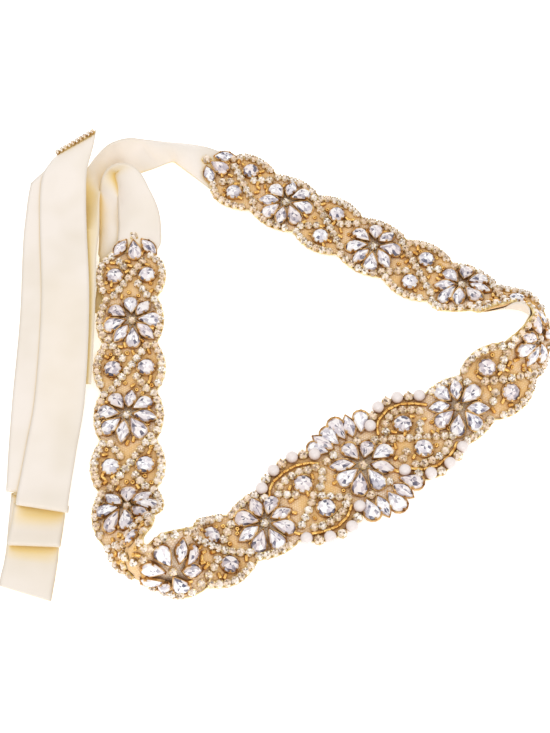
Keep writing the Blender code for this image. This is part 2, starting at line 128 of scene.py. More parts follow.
# The two loose ends turn on edge in free curves: where each edge runs, mm in plan and height.
Edges = namedtuple("Edges", "along lx ly lz rx ry rz")
BACK_TURN = table(
    Edges, (0, -35.5, 109.8, 0, -22.5, 130.5, 0), (10.2, -39.9, 113.8, 0.2, -35.6, 137.1, 0),
    (17.3, -44.9, 118.4, 0.3, -43.3, 138.9, 0.3), (23.5, -49.3, 122.3, 0.5, -50.4, 139.6, 1),
    (28.9, -52.6, 125.3, 0.6, -57.4, 139.1, 2.5), (33.8, -55.2, 127.3, 0.6, -63.9, 137.2, 6),
    (37.7, -57.6, 126.9, 0.5, -67.8, 134.9, 10), (41.8, -60.8, 125.7, 0.3, -70.9, 132.6, 14),
    (46.4, -65.1, 123.7, 0.2, -73.7, 130.1, 18), (51, -69.9, 121.9, 0.1, -76.8, 128.2, 21),
    (56.1, -75.8, 119.9, 0.1, -80, 126.2, 23), (60.8, -81.1, 118.2, 0.3, -83.5, 124.6, 23.5),
    (65.4, -85.3, 116.4, 0.8, -87.8, 123.5, 22), (70.1, -88.7, 113.4, 2, -92.3, 121.4, 19),
    (75.5, -91.5, 109.1, 3.8, -96.7, 117.8, 15.5), (80.9, -92.8, 104.2, 5, -100.5, 113.5, 12),
    (87.5, -93, 98.4, 5.7, -104.6, 106.9, 9.3), (95.7, -92.6, 91.1, 5.9, -109.6, 98.7, 7.2),
    (103.6, -92.2, 84.7, 5.9, -113.4, 89.8, 6), (112, -91.9, 77.7, 5.9, -116.3, 80.2, 5.9),
    (118.6, -92.1, 72.7, 5.9, -117.1, 72, 5.9), (126.6, -92.4, 64.8, 5.9, -116.8, 63.9, 5.9)
)
LEFT_TURN = table(
    Edges, (0, -87.9, 65.1, 1.3, -63.5, 65.9, 1.3), (7.5, -83.2, 71, 1.8, -60.1, 72.6, 1.3),
    (17.3, -82.2, 80.8, 3.2, -60.2, 82.2, 2.2), (25.4, -82.6, 89.8, 5, -60.8, 88.5, 6),
    (32.7, -82.9, 97.4, 6.2, -62.8, 93.9, 11), (39.1, -83.5, 103.8, 6.4, -65.8, 98.6, 16),
    (46.1, -84.4, 109.7, 5.6, -69.8, 105.4, 19.5), (51, -85.9, 114.4, 4.2, -73.9, 108.8, 21.5),
    (54.9, -87.3, 118, 2.9, -78.2, 110.6, 22), (58.3, -88.9, 118.8, 1.9, -83, 111.2, 21.5),
    (61.4, -89.4, 117.1, 1.2, -87.2, 111.3, 18.5), (65.5, -86.9, 111.5, 0.6, -90.7, 110.6, 14),
    (71.8, -79.8, 103.7, 0.3, -92.8, 108.2, 8.5), (79.1, -74.1, 96, 0.1, -93.7, 103.3, 3.6),
    (87.5, -71, 87.6, 0.1, -93.6, 95.3, 1), (98.6, -69, 78.6, 0, -92.8, 82.4, 0),
    (104.3, -68, 74.8, 0, -92.4, 74.9, 0), (112.2, -68, 66.8, 0, -92.4, 67, 0)
)

# Half width of the applique by distance from its middle, and from its ends.
Width = namedtuple("Width", "away half")
MEDALLION_WIDTHS = table(
    Width, (0, 24.6), (7, 24.2), (12, 22), (16, 19.6), (21, 20.8), (28, 22.6), (36, 21.4), (42, 18.2),
    (47.25, 14.6)
)
CAP_WIDTHS = table(Width, (0, 0.8), (2.5, 2), (5, 4.6), (8, 7.6), (11, 9.6), (14, 12.4), (17, 15.4))
CAP_LENGTH = 17.0

# Folded runs of the tails, from north to south. y, x: middle of the ribbon. z: its
# underside. tilt: east edge up, degrees. skew: east edge further north, mm.
Section = namedtuple("Section", "y x z tilt skew")
LEVEL_BACK = 7.8
LEVEL_TOP = 8.5
TOP_LAYER = table(
    Section, (131, -106.2, 14, 28, 6), (124, -108, 13.4, 20, 3), (112, -111.6, 11.9, 9, 0.5),
    (96, -111.8, LEVEL_TOP + 0.9, 1, 0), (80, -110.6, LEVEL_TOP, 0, 0), (33, -106.2, LEVEL_TOP, 0, 0),
    (-24, -104.8, LEVEL_TOP, 0, 0), (-51, -106.9, LEVEL_TOP, 0, -1), (-72, -108.4, LEVEL_TOP + 0.8, 0, -3),
    (-80, -108.6, LEVEL_TOP + 2.2, 0, -4)
)
BACK_LAYER = table(
    Section, (120.5, -117.8, LEVEL_BACK + 2.4, 8, 26), (110, -118.2, LEVEL_BACK + 1.7, 6, 15),
    (96, -118.5, LEVEL_BACK + 0.5, 1, 4), (72, -118.6, LEVEL_BACK, 0, 0), (24, -116.2, LEVEL_BACK, 0, 0),
    (-22, -115.8, LEVEL_BACK, 0, 0), (-55, -115, LEVEL_BACK, 0, -1), (-71, -114.4, LEVEL_BACK, 0, -1.5)
)
UPPER_FOLD = table(
    Section, (-77.5, -110.6, 5, 0, -1), (-85, -110.9, 4.4, 0, -1), (-92, -111.3, 5, 0, -1),
    (-97, -111.7, 6.2, 0, -1)
)
LOWER_FOLD = table(
    Section, (-71.4, -112.6, 3.2, 0, -1), (-86, -112.8, 2.2, 0, -1), (-104, -112.9, 1.5, 0, -3),
    (-119.8, -114.4, 1.3, 0, -7.5)
)
# Painted shade: where the satin's colour is turned yellow, as under and between folded layers, where light has
# come through other layers.
# start, rise, end, fall: mm along the sheet. strength: 0 to 1.
Tint = namedtuple("Tint", "start rise end fall strength")
UPPER_TINT = Tint(1, 3, 5, 9, 0.72)
LOWER_TINT = Tint(25, 2, 29, 6.5, 0.66)
BACK_TINT = Tint(98, 14, 230, 20, 0.7)
LEFT_TINT = Tint(52, 10, 84, 14, 0.4)
TOP_TINT = Tint(70, 30, 150, 40, 0.08)
# The hidden runs, whose edges show at the sides of the bundle: y and x of their middle line,
# then each run's level, how far it lies to the east, and to the south.
CORE_MIDDLES = ((88, -112), (80, -113), (60, -112.8), (24, -112), (-22, -111.6), (-55, -111.6), (-70, -111.2))
CORE_RUNS = ((0.5, 0, 0), (1.5, -0.8, 1.5), (2.5, 0.7, 0.5), (3.6, -0.3, 2), (4.7, 0.5, 1))

# --- what is sewn on the net ---
# kind: which stone. along, across: mm from the middle of the flower or motif.
# turn: degrees from the applique's direction. size: length of the stone.
Stone = namedtuple("Stone", "kind along across turn size")
FLOWER = table(
    Stone, ("drop", 0.2, 9.4, 88, 11.6), ("navette", 6.4, 6.4, 45, 12.4), ("drop", 8.6, -0.4, -3, 12.4),
    ("navette", 5.6, -7.2, -52, 12), ("drop", -0.6, -9.2, -94, 11.8), ("drop", -7.2, -5.8, -141, 11.8),
    ("drop", -8.8, 1.2, 172, 12), ("navette", -5.8, 7, 130, 11.6)
)
MEDALLION_FLOWER = table(
    Stone, ("drop", -0.5, 9, 94, 11.8), ("drop", 6.2, 6, 46, 11.4), ("drop", 11.6, 0.8, 4, 13.4),
    ("navette", -8.4, 5.4, 147, 13), ("drop", -9.2, -0.8, 185, 12.2), ("drop", -6.4, -7, 229, 12.2),
    ("drop", 1.4, -8.8, -82, 12.2), ("navette", 7.8, -5.6, -36, 12.8)
)
FANS = table(
    Stone, ("drop", -13.2, 19, 136, 11), ("navette", -9.2, 20.8, 122, 12), ("drop", -4.4, 21.4, 106, 11.6),
    ("drop", 1, 22.8, 93, 12.8), ("navette", 6.5, 21.4, 80, 12), ("drop", 12.6, 20.2, 60, 12),
    ("drop", -9.5, -20.8, -106, 12.6), ("navette", -3.6, -22.6, -96, 12.4), ("drop", 2.8, -23.6, -86, 13),
    ("navette", 9, -21, -68, 12.4), ("drop", 15.2, -19, -48, 12.2)
)
# Chains and single chain stones inside the medallion: (along, across) in mm.
FAN_ROOTS = (
    ((-13, 11.4), (-9, 12.4), (-4.4, 13.6), (0.5, 14.2), (5, 13.4)),
    ((-12.4, -11.4), (-7.8, -13.8), (-3.4, -15), (1.4, -15), (5.6, -13.8), (9.8, -11.8)),
)
LOOP_CHAINS = (
    ((5.4, 12.8), (46.5, -9.8)),
    ((20, 9.5), (22.5, 13.5), (27.5, 15.9), (32, 15.9), (36, 13.8), (39.8, 11), (41.5, 7.5),
     (37, 4.5), (34, 1.2)),
    ((25.5, -2), (22, -5), (17.5, -7.5), (19.8, -11), (23.5, -13.6), (27.8, -15),
     (32.5, -15.2), (37.5, -14.8), (41.5, -12.5), (44.5, -9)),
    ((-42, 9.5), (-27, -0.8), (-11.5, -12)),
    ((-42.5, 10), (-39, 12.8), (-35.5, 13.8), (-31.5, 14.2), (-27.5, 14), (-23.5, 12.8),
     (-19, 11.6), (-17.6, 8), (-20, 5), (-23, 2)),
    ((-31, -2.6), (-35, -5.5), (-38.5, -8), (-42.5, -10.5), (-38.2, -13.2), (-34.5, -15),
     (-30, -15.7), (-25.2, -15.5), (-21, -14.2), (-17.6, -12)),
)
# along, across and turn of the round stone in each loop.
MEDALLION_ROUNDS = ((-29, 7.6, 0), (-26.5, -8.6, 20), (29.5, 8.6, 40), (30.5, -7.6, 10))
# Rows of pearls along the four loops' edges, and the stones between them.
PEARL_ROWS = (
    ((-47.2, 15.8), (-37.5, 20.8), (-26.2, 22), (-16.2, 17.4)),
    ((-43.2, -17), (-33.5, -22.3), (-22, -23.4), (-13.2, -16.8)),
    ((15, 15.8), (24, 22.2), (35, 21.6), (45.2, 16.6)),
    ((15.6, -12.8), (25.2, -20.8), (36, -21.4), (47.2, -17.4)),
)
PEARL_STONES = (
    (-48.6, 11), (-42.8, 19.2), (-32.2, 22), (-20.8, 20.6), (-38.6, -20.6), (-27.6, -23.6),
    (-17, -20.8), (19.2, 19.8), (29.6, 23), (40.4, 19.4), (48.8, 12.8), (20.2, -17.6),
    (30.4, -22.4), (41.8, -20), (49, -12.6),
)
# Bugle beads end to end round the outside of each loop, inside the pearls.
BUGLE_LINES = (
    ((-46.6, 9.4), (-44.5, 13.4), (-40.5, 16.2), (-34, 17.7), (-27, 17.7), (-20.5, 15.4), (-16.8, 12.4)),
    ((-46.4, -11), (-44, -13.4), (-40, -15.8), (-34.5, -18.2), (-27, -19.4), (-21, -18), (-15.4, -13.8)),
    ((15.8, 9.6), (17.4, 13.4), (20.6, 16.6), (27.5, 19), (34.5, 18.2), (40.5, 14.8), (45.8, 10.6)),
    ((46.4, -13.4), (43.6, -15.6), (38, -17.9), (30.5, -18.9), (23.5, -16.9), (18.4, -12.9), (15.8, -9.6)),
)
MEDALLION_SEEDS = (
    (23.2, 7.2), (39, -3), (41.6, -3.8), (19.4, 0.4), (15.9, -4.8), (-34, -10), (-14.7, -5.5),
    (-13.8, 2.6), (-23.2, 8.4), (23.6, -9), (36.4, -9.6), (-35.6, 9.2), (-20.2, -8.2), (35.6, 9.4),
    (-30, 2.2), (27.2, 3.6), (-13.6, 8.6), (-17, -5.2), (16.2, 5.6), (-38.6, 3.4), (-40.6, -2.8),
    (42, 1.8), (39.6, 5.2), (-16, 0), (12.4, -10.6),
)
# At each end, a fan that opens from the small stone at the tip. along: from the middle.
CAP_STONES = table(
    Stone, ("navette", 314.2, 7.6, 138, 11.8), ("drop", 312.6, 0.2, 176, 11.8),
    ("navette", 313.8, -7.2, 216, 11.8)
)
CAP_TIP = 320.8
# Each flower's middle along the applique and across it, and its turn in degrees.
Flower = namedtuple("Flower", "along across turn")
FLOWERS = table(
    Flower, (-269, 1.2, 92), (-216, -0.8, 40), (-163, 0, 176), (-109.5, -1.2, -60), (-55.5, 0, 130),
    (57.6, 0.8, 16), (110, 0, -112), (163.5, -1.6, 70), (215.5, 0, 200), (269.5, 0, -24)
)


# --- the course ---
def smooth(rows, field, at, key="along"):
    """Value of one column at a place, on a smooth curve through the rows."""
    xs = [getattr(row, key) for row in rows]
    ys = [getattr(row, field) for row in rows]
    last = len(rows) - 1
    if at <= xs[0]:
        return ys[0]
    if at >= xs[last]:
        return ys[last]
    i = max(k for k in range(last) if xs[k] <= at)

    def slope(k):
        if k in (0, last):
            return 0.0
        before = ys[k] - ys[k - 1]
        after = ys[k + 1] - ys[k]
        if before == 0.0 or after == 0.0:
            return 0.0
        return (ys[k + 1] - ys[k - 1]) / (xs[k + 1] - xs[k - 1])

    span = xs[i + 1] - xs[i]
    t = (at - xs[i]) / span
    return (
        (2 * t**3 - 3 * t**2 + 1) * ys[i]
        + (t**3 - 2 * t**2 + t) * span * slope(i)
        + (3 * t**2 - 2 * t**3) * ys[i + 1]
        + (t**3 - t**2) * span * slope(i + 1)
    )


def seat_at(place, x_axis, up):
    seat = Matrix((x_axis, up.cross(x_axis), up)).transposed().to_4x4()
    seat.translation = place
    return seat


class Course:
    """A ribbon's way through space, with a flat sheet laid across it."""

    STEP = 1.0

    def __init__(self, rows, start):
        self.rows = rows
        self.first = rows[0].along
        self.last = rows[-1].along
        self.ahead = self._walk(start, self.STEP)
        self.behind = self._walk(start, -self.STEP)

    def _direction(self, along):
        reach = self.STEP / 2
        rise = smooth(self.rows, "height", along + reach) - smooth(self.rows, "height", along - reach)
        climb = math.asin(max(-0.95, min(0.95, rise / self.STEP)))
        return math.radians(smooth(self.rows, "heading", along)), climb

    def _walk(self, start, step):
        places = [Vector(start)]
        limit = abs(self.last if step > 0 else self.first)
        along = 0.0
        while abs(along) < limit + abs(step):
            heading, climb = self._direction(along + step / 2)
            run = step * math.cos(climb)
            places.append(places[-1] + Vector((run * math.cos(heading), run * math.sin(heading))))
            along += step
        return places

    def middle(self, along):
        way = self.ahead if along >= 0.0 else self.behind
        place = abs(along) / self.STEP
        i = min(int(place), len(way) - 2)
        flat = way[i].lerp(way[i + 1], place - i)
        return Vector((flat.x, flat.y, smooth(self.rows, "height", along)))

    def point(self, along, across, lift):
        """A point across mm to the left of the middle line and lift mm above the underside."""
        heading, climb = self._direction(along)
        level = math.cos(climb)
        ahead = Vector((math.cos(heading) * level, math.sin(heading) * level, math.sin(climb)))
        left = Vector((-math.sin(heading), math.cos(heading), 0.0))
        up = ahead.cross(left)
        lean = math.radians(smooth(self.rows, "lean", along))
        curl = math.radians(smooth(self.rows, "curl", along))
        turned = lean + curl * across
        if abs(curl) < 1e-6:
            out = across * math.cos(lean)
            rise = across * math.sin(lean)
        else:
            out = (math.sin(turned) - math.sin(lean)) / curl
            rise = (math.cos(lean) - math.cos(turned)) / curl
        surface = self.middle(along) + left * out + up * rise
        return surface + (up * math.cos(turned) - left * math.sin(turned)) * lift

    def seat(self, along, across, lift, turn=0.0):
        """Where a stone sits: its place, and its axes with X turned from the course."""
        reach = 0.4
        here = self.point(along, across, lift)
        ahead = self.point(along + reach, across, lift) - self.point(along - reach, across, lift)
        left = self.point(along, across + reach, lift) - self.point(along, across - reach, lift)
        ahead, left = ahead.normalized(), left.normalized()
        up = ahead.cross(left).normalized()
        left = up.cross(ahead)
        angle = math.radians(turn)
        return seat_at(here, ahead * math.cos(angle) + left * math.sin(angle), up)


def half_width(along, across=1.0):
    """Half the net's width, on the side that across lies on."""
    away = abs(along)
    if away <= MEDALLION_END:
        return smooth(MEDALLION_WIDTHS, "half", away, key="away")
    from_tip = APPLIQUE_END - away
    if from_tip < CAP_LENGTH:
        return smooth(CAP_WIDTHS, "half", from_tip, key="away")
    motif, part = divmod(away / MOTIF_PITCH - 0.5, 1.0)
    rise = SCALLOP_RISE + (0.0 if motif % 2 else CROSSING_RISE)
    if across < 0.0 and abs(along - TUCKED_SCALLOP) < MOTIF_PITCH / 2:
        rise = TUCKED_RISE
    return NOTCH_HALF_WIDTH + rise * math.sin(math.pi * part) ** 0.8


# --- materials ---
def linear(hex_colour):
    """An sRGB hex colour as the linear values that a shader takes."""
    values = [int(hex_colour[i:i + 2], 16) / 255 for i in (1, 3, 5)]
    return [v / 12.92 if v <= 0.04045 else ((v + 0.055) / 1.055) ** 2.4 for v in values] + [1.0]


def plug(node, name, value):
    """Sets an input to a value, or links it to a socket or to a node's first output."""
    if isinstance(value, bpy.types.Node):
        value = next(output for output in value.outputs if output.enabled)
    if isinstance(value, bpy.types.NodeSocket):
        node.id_data.links.new(value, node.inputs[name])
    else:
        node.inputs[name].default_value = value


def add_node(tree, kind, inputs=(), **settings):
    """Adds a node: settings are its own, inputs are what plug takes."""
    node = tree.nodes.new("ShaderNode" + kind)
    for name, value in settings.items():
        setattr(node, name, value)
    for name, value in dict(inputs).items():
        plug(node, name, value)
    return node


def new_material(name, **values):
    """A material with the shader's own values set: what adds a node to it, and the shader."""
    material = bpy.data.materials.new(name)
    material.use_nodes = True
    shader = material.node_tree.nodes["Principled BSDF"]
    for socket, value in values.items():
        shader.inputs[socket.replace("_", " ")].default_value = value
    return material, partial(add_node, material.node_tree), shader


def set_ramp(node, stops):
    ramp = node.color_ramp
    while len(ramp.elements) < len(stops):
        ramp.elements.new(0.5)
    for element, (place, colour) in zip(ramp.elements, stops):
        element.position = place
        element.color = linear(colour)


def satin_material(name, face, shade, fold):
    """Polyester satin: floats of bright weft give long soft lights across the ribbon."""
    material, add, shader = new_material(
        name, Roughness=0.45, Sheen_Weight=0.1, Sheen_Roughness=0.4, Specular_IOR_Level=0.3)
    uv = add("UVMap", uv_map="cloth")
    across = add("SeparateXYZ", {"Vector": uv}).outputs["X"]
    spot = add("TexCoord").outputs["Object"]
    # Slow changes, about 30 mm across, between the face colour and the darker shade colour.
    tone = add("TexNoise", {"Vector": spot, "Scale": 32.0, "Detail": 2.0})
    colour = add("ValToRGB", {"Fac": tone})
    set_ramp(colour, ((0.3, shade), (0.62, face)))
    # Painted shade: where the AO finds folds and gaps, and where the yellow attribute is set, the colour turns
    # to the yellow fold colour, as light does that reaches a fold through other layers of satin.
    depth = add("AmbientOcclusion", {"Distance": 10.0 * MM}, samples=8)
    open_part = add("MapRange", {"Value": depth.outputs["AO"], "From Min": 0.36, "From Max": 0.88})
    yellow = add("Attribute", attribute_name="yellow").outputs["Fac"]
    unshaded_share = add("Math", {0: open_part, 1: yellow}, operation="SUBTRACT", use_clamp=True)
    folded = add("Mix", {"Factor": unshaded_share, "A": linear(fold), "B": colour}, data_type="RGBA")
    # The selvedge: a slightly darker line along each edge.
    off_middle = add("Math", {0: across}, operation="ABSOLUTE")
    selvedge = add("MapRange", {
        "Value": off_middle, "From Min": (RIBBON_WIDTH / 2 - SELVEDGE[0]) * MM,
        "From Max": (RIBBON_WIDTH / 2 - SELVEDGE[1]) * MM, "To Max": 0.35})
    edged = add("Mix", {"Factor": selvedge, "A": folded, "B": linear(shade)}, data_type="RGBA")
    plug(shader, "Base Color", edged)
    # Weft threads run across the ribbon, drawn coarser than satin's so that they show.
    threads = add("TexWave", {
        "Vector": uv, "Scale": 1 / (WEFT_PITCH * WAVE_SCALE), "Distortion": 0.6,
        "Detail": 1.0}, bands_direction="Y")
    creases = add("TexNoise", {"Vector": spot, "Scale": 90.0, "Detail": 3.0})
    fine = add("Bump", {"Height": threads.outputs["Fac"], "Strength": 0.10, "Distance": 0.05 * MM})
    soft = add("Bump", {"Height": creases, "Strength": 0.25, "Distance": 0.5 * MM, "Normal": fine})
    plug(shader, "Normal", soft)
    return material


def net_material():
    """Nylon tulle, tea-coloured, over ivory: a hexagonal mesh under gold sewing thread."""
    material, add, shader = new_material("tulle_net", Roughness=0.8, Sheen_Weight=0.2)
    uv = add("UVMap", uv_map="cloth")
    # Three sets of threads cross at 60 degrees, drawn coarser than tulle's so that the mesh shows.
    threads = None
    for turn in (0, 60, 120):
        turned = add("Mapping", {"Vector": uv, "Rotation": (0, 0, math.radians(turn))})
        lines = add("TexWave", {
            "Vector": turned, "Scale": 1 / (TULLE_PITCH * WAVE_SCALE), "Distortion": 0.8}, wave_profile="SIN")
        thin = add("MapRange", {"Value": lines.outputs["Fac"], "From Min": 0.80, "From Max": 0.97})
        threads = add("Math", {0: threads, 1: thin}, operation="MAXIMUM") if threads else thin
    mesh = add("ValToRGB", {"Fac": threads})
    set_ramp(mesh, ((0.0, "#ffebd8"), (1.0, "#eacaa2")))
    # The golden sewing threads gather at the crossings, which are two pitches apart.
    place = add("SeparateXYZ", {"Vector": uv})
    turns = add("Math", {0: place.outputs["Y"], 1: math.pi / (MOTIF_PITCH * MM)}, operation="MULTIPLY")
    wave = add("Math", {0: turns}, operation="COSINE")
    patches = add("TexNoise", {"Vector": uv, "Scale": 1 / (3.0 * MM), "Detail": 2.0})
    uneven = add("Math", {0: patches, 1: -2.2, 2: wave}, operation="MULTIPLY_ADD")
    warm = add("MapRange", {"Value": uneven, "From Min": 0.0, "From Max": -1.9, "To Max": 0.8})
    toned = add("Mix", {"Factor": warm, "A": mesh, "B": linear("#f0be6e")}, data_type="RGBA")
    # Painted shade: where the AO finds stones standing close, the net turns golden brown, as only light off the
    # gold cups gets in there.
    depth = add("AmbientOcclusion", {"Distance": 3.0 * MM}, samples=8)
    open_part = add("MapRange", {"Value": depth.outputs["AO"], "From Min": 0.24, "From Max": 0.68})
    shaded = add("Mix", {"Factor": open_part, "A": linear("#ab743e"), "B": toned}, data_type="RGBA")
    plug(shader, "Base Color", shaded)
    bump = add("Bump", {"Height": threads, "Strength": 0.6, "Distance": 0.25 * MM})
    plug(shader, "Normal", bump)
    return material


def crystal_material(name, stops, cast):
    """Foil-backed cut glass: each facet's colour is a painted reflection of a brighter or darker part of the
    stone.
    """
    material, add, shader = new_material(
        name, Roughness=0.08, Specular_IOR_Level=0.7, Coat_Weight=0.5, Coat_Roughness=0.03, IOR=1.55)
    facet = add("Attribute", attribute_name="facet").outputs["Fac"]
    # A noise about 2 mm across, for the foil's unevenness, shifts each facet's painted reflection a little.
    spot = add("TexCoord").outputs["Object"]
    foil = add("TexNoise", {"Vector": spot, "Scale": 1 / (2.0 * MM), "Detail": 1.0})
    shift = add("MapRange", {"Value": foil, "From Min": 0.3, "From Max": 0.7, "To Min": -0.07, "To Max": 0.07})
    tone = add("Math", {0: facet, 1: shift}, operation="ADD", use_clamp=True)
    colour = add("ValToRGB", {"Fac": tone})
    set_ramp(colour, stops)
    # One stone's glass and foil are a little warmer than the next one's.
    stone = add("Attribute", attribute_name="cast").outputs["Fac"]
    tinted_glass = add("Mix", {
        "Factor": stone, "A": colour, "B": linear(cast)}, data_type="RGBA", blend_type="MULTIPLY")
    plug(shader, "Base Color", tinted_glass)
    return material


def gold_material(name, light, dark, roughness):
    """Gold-tone plating on pressed brass: bright, with browner patches at random, a painted shade."""
    material, add, shader = new_material(name, Metallic=0.85, Roughness=roughness)
    spot = add("TexCoord").outputs["Object"]
    # Painted shade: brown patches at random over the bright gold.
    shade_patches = add("TexNoise", {"Vector": spot, "Scale": 1 / (3.0 * MM), "Detail": 2.0})
    colour = add("ValToRGB", {"Fac": shade_patches})
    set_ramp(colour, ((0.35, dark), (0.6, light)))
    plug(shader, "Base Color", colour)
    return material


def pearl_material():
    """Plastic pearl: a milky bead under a thin lacquer, with painted shade, darker and warmer low down where it
    meets the net and the gold.
    """
    material, add, shader = new_material(
        "pearl_lacquer", Roughness=0.25, Coat_Weight=0.6, Coat_Roughness=0.04)
    # Painted shade: the AO darkens the bead to a warm brown where it nears the net.
    depth = add("AmbientOcclusion", {"Distance": 4.0 * MM}, samples=8)
    colour = add("ValToRGB", {"Fac": depth.outputs["AO"]})
    set_ramp(colour, ((0.30, "#ab8670"), (0.66, "#d2bdb4"), (0.97, "#ebe0dc")))
    plug(shader, "Base Color", colour)
    return material


# --- patterns for stones and beads, modelled once ---
def deselect_all():
    bpy.ops.object.select_all(action="DESELECT")


def pick(piece):
    """Makes a piece the only one that is selected."""
    deselect_all()
    piece.select_set(True)
    bpy.context.view_layer.objects.active = piece


def start_edit(piece):
    pick(piece)
    bpy.ops.object.mode_set(mode="EDIT")
    bpy.ops.mesh.select_all(action="SELECT")


def grow_ring(rise, share, turn=0.0):
    """Raises the selected ring, draws it in to a share of its size and turns it."""
    bpy.ops.mesh.extrude_edges_move(TRANSFORM_OT_translate={"value": (0, 0, rise)})
    bpy.ops.transform.resize(value=(share, share, 1), center_override=(0, 0, 0))
    if turn:
        bpy.ops.transform.rotate(value=turn, orient_axis="Z", center_override=(0, 0, 0))


def start_round(sides):
    """A flat disc of radius 1, open for editing, all of it selected."""
    deselect_all()
    bpy.ops.mesh.primitive_circle_add(vertices=sides, radius=1.0, fill_type="NGON")
    start_edit(bpy.context.object)
    return bpy.context.object


def face_outwards():
    bpy.ops.mesh.select_all(action="SELECT")
    bpy.ops.mesh.normals_make_consistent(inside=False)


def cut_stone(sides, rings):
    """A faceted stone of radius 1: a flat back, a ring for each row, then the table."""
    stone = start_round(sides)
    for rise, share, turn in rings:
        grow_ring(rise, share, turn * math.pi / sides)
    bpy.ops.mesh.edge_face_add()
    bpy.ops.mesh.poke()
    face_outwards()
    bpy.ops.object.mode_set(mode="OBJECT")
    return stone


def pressed_cup(sides, rings, claws, claw_size):
    """A pressed cup of radius 1: a wall round the stone's seat, with claws over its edge."""
    body = start_round(sides)
    for rise, share in rings:
        grow_ring(rise, share)
    bpy.ops.mesh.edge_face_add()
    face_outwards()
    wide, deep, high, middle = claw_size
    place = (0.95 - deep / 2, 0, middle)
    for angle in claws:
        bpy.ops.mesh.select_all(action="DESELECT")
        bpy.ops.mesh.primitive_cube_add(size=1.0, location=place)
        bpy.ops.transform.resize(value=(deep, wide, high), center_override=place)
        bpy.ops.transform.rotate(value=math.radians(angle), orient_axis="Z", center_override=(0, 0, 0))
    bpy.ops.object.mode_set(mode="OBJECT")
    return body


def draw_out(pattern, kind):
    """Draws a round pattern out to a navette, or to a teardrop with its point towards -X."""
    for vertex in pattern.data.vertices:
        radius = math.hypot(vertex.co.x, vertex.co.y)
        if radius < 1e-6:
            continue
        away = vertex.co.x / radius
        side = math.copysign(1.0, vertex.co.y) if abs(vertex.co.y) > 1e-6 else 0.0
        if kind == "navette":
            vertex.co.y = radius * side * (1.0 - abs(away) ** 1.8)
        else:
            narrow = 1.0 - 0.85 * (0.5 - 0.5 * away) ** 1.5
            vertex.co.y *= narrow / 0.78    # as wide as the circle was, where it is widest


def make_patterns():
    # A stone's rings: rise, share of the ring below, turn in half sides. A cup's: rise, share.
    long_cut = ((0.28, 1.0, 0), (0.34, 0.80, 1), (0.22, 0.52, 0))
    thin_wall = ((0.38, 1.0), (0.0, 0.93), (-0.12, 0.91))
    patterns = {}
    for key, sides, rings in (
            ("chain", 8, ((0.32, 1.0, 0), (0.68, 0.62, 1))),
            ("round", 10, ((0.30, 1.0, 0), (0.38, 0.78, 1), (0.22, 0.50, 0))),
            ("navette", 12, long_cut), ("drop", 12, long_cut)):
        patterns[key + "_stone"] = cut_stone(sides, rings)
    # A cup's claws: their angles, then their width, depth, height and middle's height.
    for key, sides, rings, claws, claw_size in (
            ("chain", 8, ((0.36, 1.0), (0.0, 0.92), (-0.12, 0.90)), range(45, 360, 90),
             (0.34, 0.26, 0.75, 0.42)),
            ("round", 16, thin_wall, range(20, 360, 45), (0.18, 0.16, 0.5, 0.40)),
            ("navette", 16, thin_wall, (0, 62, 118, 180, 242, 298), (0.16, 0.12, 0.6, 0.36)),
            ("drop", 16, thin_wall, (0, 75, 180, 285), (0.2, 0.12, 0.6, 0.36))):
        patterns[key + "_cup"] = pressed_cup(sides, rings, claws, claw_size)
    for key in ("navette", "drop"):
        draw_out(patterns[key + "_stone"], key)
        draw_out(patterns[key + "_cup"], key)

    deselect_all()
    bpy.ops.mesh.primitive_uv_sphere_add(segments=16, ring_count=10, radius=1.0)
    patterns["pearl"] = bpy.context.object
    deselect_all()
    bpy.ops.mesh.primitive_torus_add(major_segments=8, minor_segments=5, major_radius=0.60, minor_radius=0.42)
    patterns["seed"] = bpy.context.object
    deselect_all()
    bpy.ops.mesh.primitive_cylinder_add(vertices=8, radius=0.5, depth=1.0)
    patterns["bugle"] = bpy.context.object
    start_edit(patterns["bugle"])
    bpy.ops.transform.rotate(value=math.pi / 2, orient_axis="Y", center_override=(0, 0, 0))
    bpy.ops.mesh.bevel(offset=0.1, segments=1)
    bpy.ops.object.mode_set(mode="OBJECT")
    for key, pattern in patterns.items():
        pattern.name = "pattern_" + key
    return patterns


def as_piece(name, mesh, material, slot):
    """A piece of its own for a finished mesh, at the origin, on the sash's one body."""
    mesh.materials.append(material)
    piece = bpy.data.objects.new(name, mesh)
    bpy.context.scene.collection.objects.link(piece)
    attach(piece, "root")
    return piece


def lowest_first(face):
    start = face.index(min(face))
    return tuple(face[start:] + face[:start])


